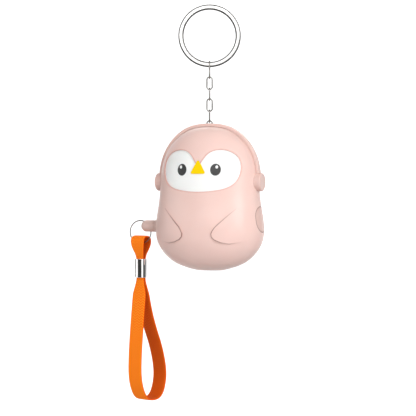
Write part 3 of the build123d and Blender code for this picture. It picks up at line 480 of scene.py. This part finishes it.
# Wound copper: fine turns side by side along one axis of the piece
def wound(name, look):
    finish = Finish(name)
    lane = finish.axis(finish.place(), "Y") / look["turnPitch"]
    turnShape = (lane * fullTurn).sine() * 0.5 + 0.5
    return finish.shade(
        {
            "Base Color": finish.mix(turnShape, look["shadow"], look["colour"]),
            "Metallic": look["metallic"],
            "Roughness": look["roughness"] + turnShape * look["roughnessRange"],
            "Normal": finish.bump(turnShape, look["turnStrength"], look["turnDepth"]),
        }
    )


windingLook = {
    "turnPitch": 0.22 * mm,
    "turnStrength": 0.8,
    "turnDepth": 0.00005,
    "metallic": 0.9,
    "roughness": 0.3,
    "roughnessRange": 0.1,
    "colour": (196, 104, 58),
    "shadow": (110, 46, 22),
}
coilWire = wound("coilWire", windingLook)
print("metals and plastics ready")

paint(casePink, "front_shell", "rear_cover", "battery_door")
paint(trimPink, "headband", "ear_muff_left", "ear_muff_right", "side_button")
paint(knobPink, "pull_pin", "pin_socket")
paint(panelWhite, "face_panel", "eye_glints")
paint(eyeBlack, "eye_left", "eye_right")
paint(beakYellow, "beak")
paint(ringSteel, "key_ring")
paint(wireSteel, "hanger_eye", "strap_ring", *(f"chain_link_{number}" for number in range(1, 6)))
paint(mirrorSteel, "strap_ferrule")
paint(boardGreen, "circuit_board")
paint(chipEpoxy, "control_chip")
paint(blackPlastic, "tact_switch", "switch_plunger", "pin_switch_base")
paint(ferrite, "coil_core")
paint(coilWire, "coil_winding")
paint(springMetal, "pin_leaves", "battery_contacts", "lamp_leads", "battery_cells")
paint(screwSteel, "case_screws", "board_screws", "door_screw")
paint(foamRubber, "siren_gasket")
paint(brassSheet, "siren_disc")
paint(ceramicWhite, "siren_ceramic")
paint(clearPlastic, "foot_lens", "foot_lamp")
slots = {name: piece.data.materials for name, piece in nodes.items()}
unpainted = [name for name, slot in slots.items() if not slot or not slot[0].use_nodes]
print("pieces without a material:", unpainted)

# Camera at the photograph's angle and distance
camera = {
    "azimuth": math.radians(21.5),
    "elevation": math.radians(1.4),
    "distance": 0.65,
    "frameWidth": 0.1872,  # what the frame covers at the object
    "sensorWidth": 36.0,
    "sideways": -0.0007,
    "middleAboveFoot": 27.9 * mm,
    "clip": (0.01, 20.0),
}
side = Vector((math.cos(camera["azimuth"]), math.sin(camera["azimuth"]), 0))
backward = Vector((math.sin(camera["azimuth"]), -math.cos(camera["azimuth"]), 0))
aim = side * camera["sideways"] + Vector((0, 0, footLevel + camera["middleAboveFoot"]))
sightline = backward * math.cos(camera["elevation"]) + Vector((0, 0, math.sin(camera["elevation"])))
lens = bpy.data.cameras.new("camera")
lens.sensor_width = camera["sensorWidth"]
lens.lens = camera["sensorWidth"] * camera["distance"] / camera["frameWidth"]
lens.clip_start, lens.clip_end = camera["clip"]
viewer = bpy.data.objects.new("camera", lens)
viewer.location = aim + sightline * camera["distance"]
viewer.rotation_euler = (math.radians(90) - camera["elevation"], 0, camera["azimuth"])
bpy.context.scene.collection.objects.link(viewer)
bpy.context.scene.camera = viewer


def addMesh(name, points, faces):
    # a smooth mesh of its own, at the origin
    mesh = bpy.data.meshes.new(name)
    mesh.from_pydata(np.asarray(points).reshape(-1, 3).tolist(), [], [list(face) for face in faces])
    mesh.validate()
    mesh.shade_smooth()
    made = bpy.data.objects.new(name, mesh)
    bpy.context.scene.collection.objects.link(made)
    return made


def gridFaces(rows, columns, closed=False):
    # quads of a grid of points numbered row by row, closed on itself in both ways or in neither
    r = np.arange(rows if closed else rows - 1)
    c = np.arange(columns if closed else columns - 1)
    r, c = np.meshgrid(r, c, indexing="ij")
    down, right = (r + 1) % rows, (c + 1) % columns
    quads = np.stack([r * columns + c, down * columns + c, down * columns + right, r * columns + right], -1)
    return quads.reshape(-1, 4)


# Floor that curves up into a backdrop, across the camera's line of sight
floor = {
    "level": -0.235,
    "reach": 1.6,
    "near": 1.4,
    "far": 0.9,
    "bend": 0.5,
    "bendSteps": 24,
    "height": 2.2,
    "roughness": 0.9,
    "cloudScale": 3.0,
    "cloudShare": 0.1,
    # painted shade: the paper's grey near and under the object
    "pale": (198, 198, 198),
    "white": (252, 252, 252),
    "dimReach": 0.16,  # the glow begins at this distance behind the object and is full at the next
    "glowReach": 0.36,
    "glowStrength": 0.6,
    "dim": (30, 30, 30),
    "glow": (255, 255, 255),
}
# the sheet's profile is a straight run, a quarter circle and an upright run
bendTurn = np.linspace(0, math.pi / 2, floor["bendSteps"])
away = floor["far"] + floor["bend"] * np.sin(bendTurn)
away = np.concatenate([[-floor["near"]], away, away[-1:]])
rise = floor["bend"] * (1 - np.cos(bendTurn))
rise = np.concatenate([[0.0], rise, [floor["height"]]]) + floor["level"]
forward = -backward
sheetPoints = np.empty((len(away), 2, 3))
sheetPoints[...] = away[:, None, None] * np.array(forward)
sheetPoints += np.array([-floor["reach"], floor["reach"]])[None, :, None] * np.array(side)
sheetPoints[..., 2] = rise[:, None]
backdrop = addMesh("backdrop", sheetPoints, gridFaces(len(away), 2))
paper = Finish("paper")
paperPlace = paper.place()
# the sheet is painted a shaded grey near and under the object and glows only behind it: with the distance
# beyond it along the sightline
beyond = paper.axis(paperPlace, "X") * forward.x + paper.axis(paperPlace, "Y") * forward.y
behind = beyond.step(floor["dimReach"], floor["glowReach"])
cloud = paper.noise(floor["cloudScale"], place=paperPlace)
paleShare = behind * (1 - floor["cloudShare"]) + cloud * floor["cloudShare"]
backdrop.data.materials.append(
    paper.shade(
        {
            "Base Color": paper.mix(paleShare, floor["pale"], floor["white"]),
            "Roughness": floor["roughness"],
            "Emission Color": paper.mix(behind, floor["dim"], floor["glow"]),
            "Emission Strength": floor["glowStrength"],
        }
    )
)

# Dark cards and bright sheets round the camera's side, for the metal to mirror. Each azimuth, here and for
# the lights, is in degrees from the object's front toward its button.
darkCards = [
    {"name": "cardFront", "azimuth": -4, "distance": 0.95, "width": 1.1, "low": -0.16, "high": 0.04},
    {"name": "cardRight", "azimuth": 82, "distance": 0.9, "width": 0.5, "low": -0.16, "high": 0.1},
    {"name": "cardLeft", "azimuth": -110, "distance": 0.9, "width": 0.3, "low": -0.16, "high": 0.1},
]
brightSheets = [
    {"name": "sheetFront", "azimuth": 4, "distance": 1.0, "width": 0.9, "low": 0.05, "high": 0.3},
    {"name": "sheetRight", "azimuth": 47, "distance": 1.0, "width": 0.5, "low": -0.16, "high": 0.25},
    {"name": "sheetLeft", "azimuth": -63, "distance": 1.0, "width": 0.7, "low": -0.16, "high": 0.25},
]
cardLook = {
    "roughness": 0.9,
    "cloudScale": 40.0,
    "black": (64, 64, 62),
    "deepBlack": (56, 56, 54),
    "white": (255, 255, 255),
    "deepWhite": (250, 250, 250),
    "glowStrength": 0.65,
}
cardBlack = Finish("cardBlack")
cardTone = cardBlack.mix(cardBlack.noise(cardLook["cloudScale"]), cardLook["black"], cardLook["deepBlack"])
cardBlack.shade({"Base Color": cardTone, "Roughness": cardLook["roughness"]})
sheetWhite = Finish("sheetWhite")
sheetTone = sheetWhite.mix(sheetWhite.noise(cardLook["cloudScale"]), cardLook["white"], cardLook["deepWhite"])
sheetWhite.shade(
    {
        "Base Color": sheetTone,
        "Roughness": cardLook["roughness"],
        "Emission Color": sheetTone,
        "Emission Strength": cardLook["glowStrength"],
    }
)


def standCard(card, finish):
    # an upright rectangle that faces the object's axis, its heights measured from the aim
    a = math.radians(card["azimuth"])
    toward = np.array([math.sin(a), -math.cos(a)])
    beside = np.array([math.cos(a), math.sin(a)])
    ends = np.array([-0.5, 0.5])[None, :, None] * card["width"]
    corners = np.empty((2, 2, 3))
    corners[..., :2] = toward * card["distance"] + beside * ends
    corners[..., 2] = aim.z + np.array([card["low"], card["high"]])[:, None]
    made = addMesh(card["name"], corners, gridFaces(2, 2))
    made.data.materials.append(finish.material)
    made.visible_camera = False


for card in darkCards:
    standCard(card, cardBlack)
for card in brightSheets:
    standCard(card, sheetWhite)

# Soft studio light: a key from the front right, front, top and back lights and pale surroundings
lights = [
    {"name": "keyLight", "azimuth": 52, "elevation": 26, "distance": 0.75, "size": 0.5, "power": 3.3},
    {"name": "frontLight", "azimuth": 5, "elevation": 28, "distance": 0.85, "size": 0.6, "power": 1.5},
    {"name": "topLight", "azimuth": 20, "elevation": 82, "distance": 0.8, "size": 0.7, "power": 0.2},
    {"name": "backLight", "azimuth": 195, "elevation": 35, "distance": 0.8, "size": 0.6, "power": 0.9},
]
surroundings = {"colour": (1, 1, 1, 1), "strength": 0.3}
for light in lights:
    lamp = bpy.data.lights.new(light["name"], "AREA")
    lamp.shape, lamp.size, lamp.energy = "DISK", light["size"], light["power"]
    a, e = math.radians(light["azimuth"]), math.radians(light["elevation"])
    outward = Vector((math.sin(a) * math.cos(e), -math.cos(a) * math.cos(e), math.sin(e)))
    made = bpy.data.objects.new(light["name"], lamp)
    made.location = aim + outward * light["distance"]
    made.rotation_euler = outward.to_track_quat("Z", "Y").to_euler()
    bpy.context.scene.collection.objects.link(made)
world = bpy.data.worlds.new("surroundings")
world.use_nodes = True
worldInputs = world.node_tree.nodes["Background"].inputs
worldInputs["Color"].default_value = surroundings["colour"]
worldInputs["Strength"].default_value = surroundings["strength"]
bpy.context.scene.world = world
bpy.context.scene.view_settings.view_transform = "Standard"
print("camera, backdrop and lights ready")

# Wrist strap: flat woven webbing along its route, drawn together inside the ferrule
strap = {
    "turn": math.radians(-14),
    "x": -33.8 * mm,
    "pinAboveFoot": 19.45 * mm,
    "width": 7.4 * mm,
    "thickness": 0.86 * mm,
    "neckWidth": 4.0 * mm,
    "neckTop": -15.1 * mm,
    "neckBottom": -23.7 * mm,
    "flareAbove": 8.0 * mm,
    "flareBelow": 9.0 * mm,
    "sectionPoints": 36,
    "edgePower": 0.55,  # of the section: smaller is squarer
    "facePower": 0.3,
    "inward": -1,  # the side of the section that faces into the loop
}
# distance across the loop and height from the axis of the pull pin, in millimetres, as in the part's source
strapRoute = [
    (0.0, -4.85),
    (-2.65, -4.85),
    (-2.65, -9.6),
    (-0.475, -14.4),
    (-0.475, -25.6),
    (-2.4, -40.0),
    (-4.4, -58.0),
    (-4.7, -70.0),
    (-1.6, -77.6),
    (2.4, -80.35),
    (9.4, -80.35),
    (13.0, -76.6),
    (14.7, -68.5),
    (11.6, -57.0),
    (5.5, -45.0),
    (1.6, -33.5),
    (0.475, -25.6),
    (0.475, -14.4),
    (2.65, -9.6),
    (2.65, -4.85),
    (0.0, -4.85),
]
widthward = Vector((math.cos(strap["turn"]), math.sin(strap["turn"]), 0))
loopward = Vector((-widthward.y, widthward.x, 0))
pinLevel = footLevel + strap["pinAboveFoot"]


def onStrap(u, height):
    # the point of the loop's upright plane, u across it and a height from the pin, both in millimetres
    return Vector((strap["x"], 0, pinLevel)) + loopward * (u * mm) + Vector((0, 0, height * mm))


def splinePoints(name, points, resolution=16):
    # the smooth line of an open NURBS spline with these control points
    curve = bpy.data.curves.new(name, "CURVE")
    curve.dimensions = "3D"
    spline = curve.splines.new("NURBS")
    spline.points.add(len(points) - 1)
    for control, point in zip(spline.points, points):
        control.co = (*point, 1)
    spline.order_u = 3
    spline.use_endpoint_u = True
    spline.resolution_u = resolution
    carrier = bpy.data.objects.new(name, curve)
    line = bpy.data.meshes.new_from_object(carrier)
    found = np.array([v.co for v in line.vertices])
    bpy.data.objects.remove(carrier)
    bpy.data.curves.remove(curve)
    bpy.data.meshes.remove(line)
    return found


strapLine = splinePoints("strapLine", [onStrap(*point) for point in strapRoute])


def webbing(name, line, look):
    # a rounded flat section carried along a closed line; u runs along it and v round the section, in metres
    ring = line[:-1]
    ahead = np.roll(ring, -1, 0) - np.roll(ring, 1, 0)
    ahead /= np.linalg.norm(ahead, axis=1, keepdims=True)
    wide = np.tile(np.array(widthward), (len(ring), 1))
    thick = np.cross(ahead, wide)
    thick /= np.linalg.norm(thick, axis=1, keepdims=True)
    # the width eases from the neck's to the whole over the flares above and below it
    height = ring[:, 2] - pinLevel
    over = np.clip((height - look["neckTop"]) / look["flareAbove"], 0, 1)
    under = np.clip((look["neckBottom"] - height) / look["flareBelow"], 0, 1)
    spread = over + under
    spread = spread * spread * (3 - 2 * spread)
    width = look["neckWidth"] + (look["width"] - look["neckWidth"]) * spread
    # the section is a superellipse, flat on its faces and rounded at its edges
    turn = np.linspace(0, fullTurn, look["sectionPoints"], endpoint=False)
    flat = np.sign(np.cos(turn)) * np.abs(np.cos(turn)) ** look["edgePower"]
    deep = np.sign(np.sin(turn)) * np.abs(np.sin(turn)) ** look["facePower"]
    points = (
        ring[:, None]
        + wide[:, None] * (width[:, None, None] / 2) * flat[None, :, None]
        + thick[:, None] * (look["thickness"] / 2) * deep[None, :, None]
    )
    rows, columns = len(ring), len(turn)
    made = addMesh(name, points, gridFaces(rows, columns, closed=True))
    steps = np.linalg.norm(np.diff(np.vstack([ring, ring[:1]]), axis=0), axis=1)
    along = np.concatenate([[0], np.cumsum(steps)])
    # each face's corners carry their own u and v, so the pattern has no jump at the seams
    corner = np.empty(len(made.data.loops), dtype=np.int32)
    made.data.loops.foreach_get("vertex_index", corner)
    face = np.repeat(np.arange(len(made.data.polygons)), 4)
    row, column = corner // columns, corner % columns
    faceRow, faceColumn = face // columns, face % columns
    row = np.where((faceRow == rows - 1) & (row == 0), rows, row)
    column = np.where((faceColumn == columns - 1) & (column == 0), columns, column)
    across = np.append(flat, flat[0])[column] * look["width"] / 2
    layer = made.data.uv_layers.new(name="webbing")
    layer.data.foreach_set("uv", np.stack([along[row], across], -1).ravel())
    inside = made.data.attributes.new("inside", "FLOAT", "POINT")
    inside.data.foreach_set("value", np.tile(np.clip(look["inward"] * deep, 0, 1), rows))
    return made


# Webbing's weave: slanting threads in lanes whose slant turns from one lane to the next
weaveLook = {
    "pick": 1.2 * mm,
    "cord": 1.23 * mm,
    "slant": 0.8,
    "valleyStep": 0.5,
    "fuzzScale": 5200.0,
    "fuzzShare": 0.2,
    "toneSteps": (0.2, 0.62),
    "light": (255, 164, 42),
    "deep": (220, 80, 0),
    "inner": (206, 66, 0),
    "innerShadeShare": 0.75,
    "glow": (255, 100, 0),
    "innerGlow": (60, 10, 0),
    "glowStrength": 0.25,
    "roughness": 0.85,
    "threadGloss": 0.2,
    "specular": 0.12,
    "bumpStrength": 0.6,
    "bumpDepth": 0.0003,
}


def weave(name, look):
    finish = Finish(name)
    place = finish.node("ShaderNodeUVMap", {"uv_map": "webbing"})
    lane = finish.axis(place, "Y") / look["cord"]
    way = (lane * 0.5).part().above(0.5) * 2.0 - 1.0
    pick = finish.axis(place, "X") / look["pick"] + lane.part() * way * look["slant"]
    thread = (pick * fullTurn).sine() * 0.5 + 0.5
    valley = (lane * fullTurn).sine().size().step(0.0, look["valleyStep"])
    fuzz = finish.noise(look["fuzzScale"])
    raised = thread * valley * (1 - look["fuzzShare"]) + fuzz * look["fuzzShare"]
    tone = finish.mix(raised.step(*look["toneSteps"]), look["deep"], look["light"])
    # the side that faces into the loop is darker, a painted shade
    inside = finish.node("ShaderNodeAttribute", {"attribute_name": "inside"}, output="Fac")
    return finish.shade(
        {
            "Base Color": finish.mix(inside * look["innerShadeShare"], tone, look["inner"]),
            "Roughness": look["roughness"] - raised * look["threadGloss"],
            "Normal": finish.bump(raised, look["bumpStrength"], look["bumpDepth"]),
            "Specular IOR Level": look["specular"],
            # a painted glow that brightens the orange, faint on the side that faces into the loop
            "Emission Color": finish.mix(inside, look["glow"], look["innerGlow"]),
            "Emission Strength": look["glowStrength"],
        }
    )


wristStrap = webbing("wristStrap", strapLine, strap)
wristStrap.data.materials.append(weave("strapWebbing", weaveLook))
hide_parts("wrist_strap")
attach(wristStrap, "strap")
print("wrist strap ready")
